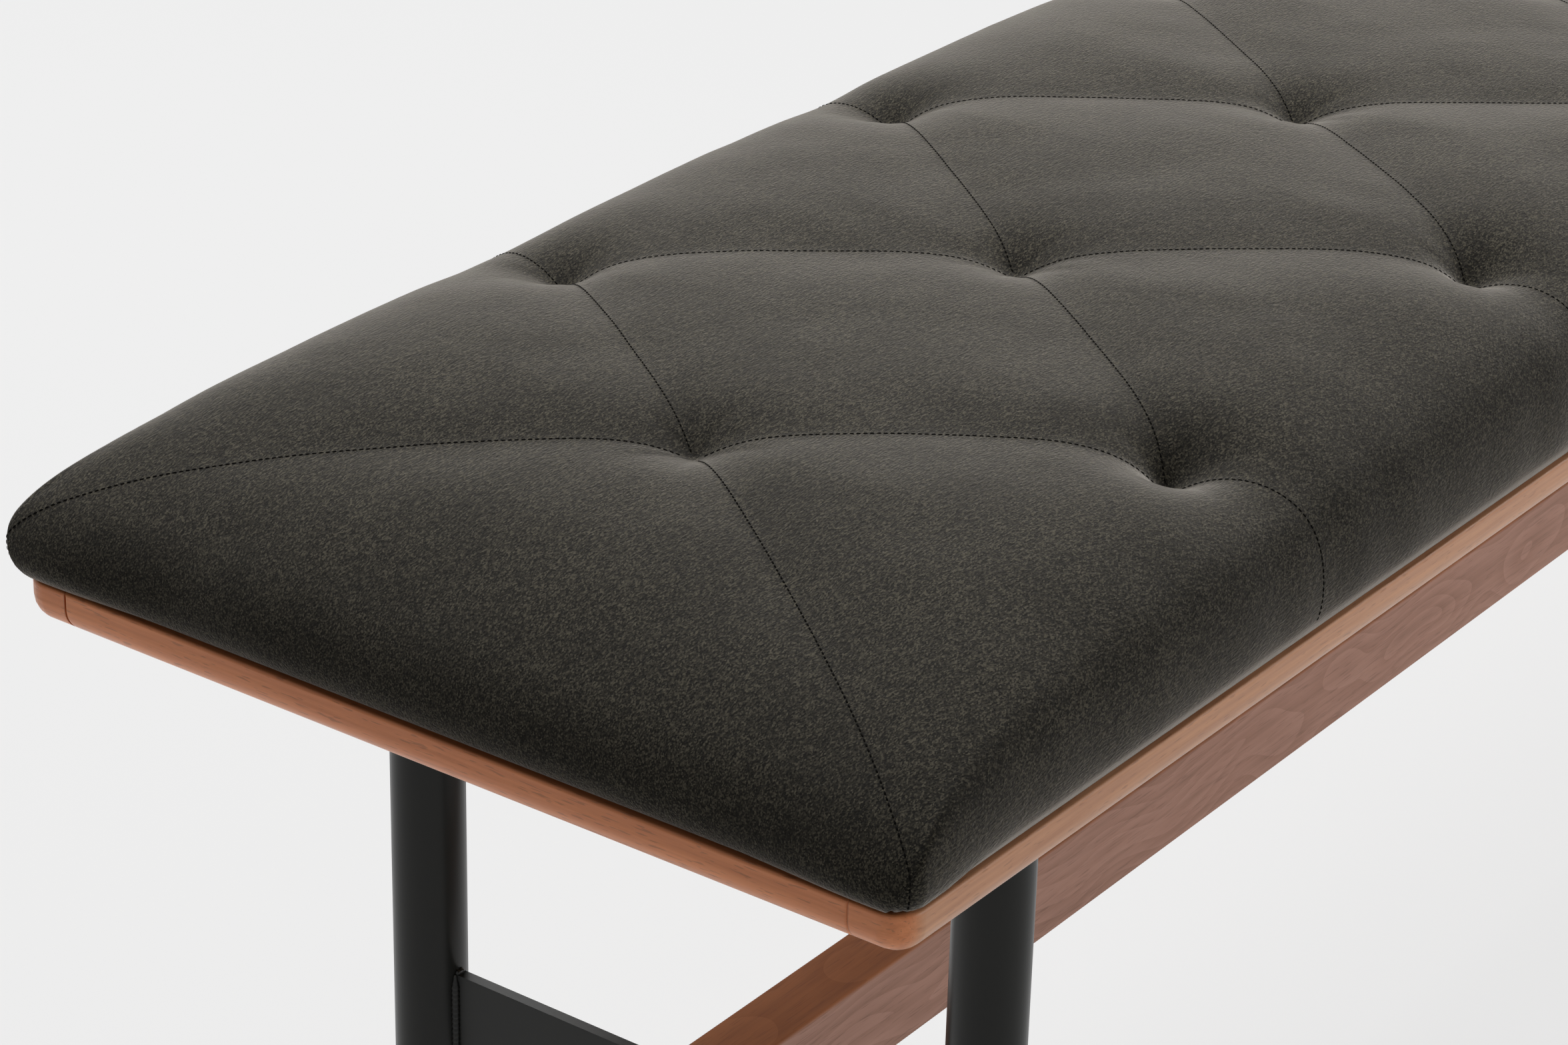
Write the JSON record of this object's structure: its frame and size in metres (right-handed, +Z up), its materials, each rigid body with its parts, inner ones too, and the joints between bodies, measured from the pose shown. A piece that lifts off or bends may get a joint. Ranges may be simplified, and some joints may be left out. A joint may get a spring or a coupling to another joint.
{
  "type": "dining bench",
  "caption": "Long dining bench with a diamond-tufted velvet seat pad on a wood-edged base, round black steel legs, flat crossbars and a wooden stretcher beam.",
  "frame": {"origin": "on the floor, under the middle of the seat", "axes": "+X along the bench, +Y from its front to its rear, +Z up"},
  "size_m": [1.7, 0.4238, 0.4759],
  "materials": {
    "velvet": "matte",
    "foam": "matte",
    "plywood": "matte",
    "stained_wood": "satin",
    "beech": "matte",
    "walnut": "satin",
    "black_steel": "satin",
    "black_bolts": "satin",
    "zinc_steel": "satin",
    "brass": "satin",
    "black_plastic": "matte",
    "white_plastic": "matte",
    "twine": "matte"
  },
  "bodies": {
    "root": {"seat_cover": "velvet", "seat_foam": "foam", "base_panel": "plywood", "pad_board": "plywood", "front_lipping": "stained_wood", "rear_lipping": "stained_wood", "left_lipping": "stained_wood", "right_lipping": "stained_wood", "front_spline": "beech", "rear_spline": "beech", "left_spline": "beech", "right_spline": "beech", "corner_dowels": "beech", "stretcher_beam": "walnut", "left_front_leg": "black_steel", "left_rear_leg": "black_steel", "right_front_leg": "black_steel", "right_rear_leg": "black_steel", "left_top_bar": "black_steel", "left_crossbar": "black_steel", "right_top_bar": "black_steel", "right_crossbar": "black_steel", "left_leg_bolts": "black_bolts", "left_beam_bolts": "black_bolts", "right_leg_bolts": "black_bolts", "right_beam_bolts": "black_bolts", "pad_screws": "zinc_steel", "cover_staples": "zinc_steel", "left_barrel_nuts": "zinc_steel", "right_barrel_nuts": "zinc_steel", "left_leg_inserts": "brass", "right_leg_inserts": "brass", "left_front_glide": "black_plastic", "left_rear_glide": "black_plastic", "right_front_glide": "black_plastic", "right_rear_glide": "black_plastic", "tuft_anchors": "white_plastic", "tuft_ties": "twine"}
  },
  "joints": []
}
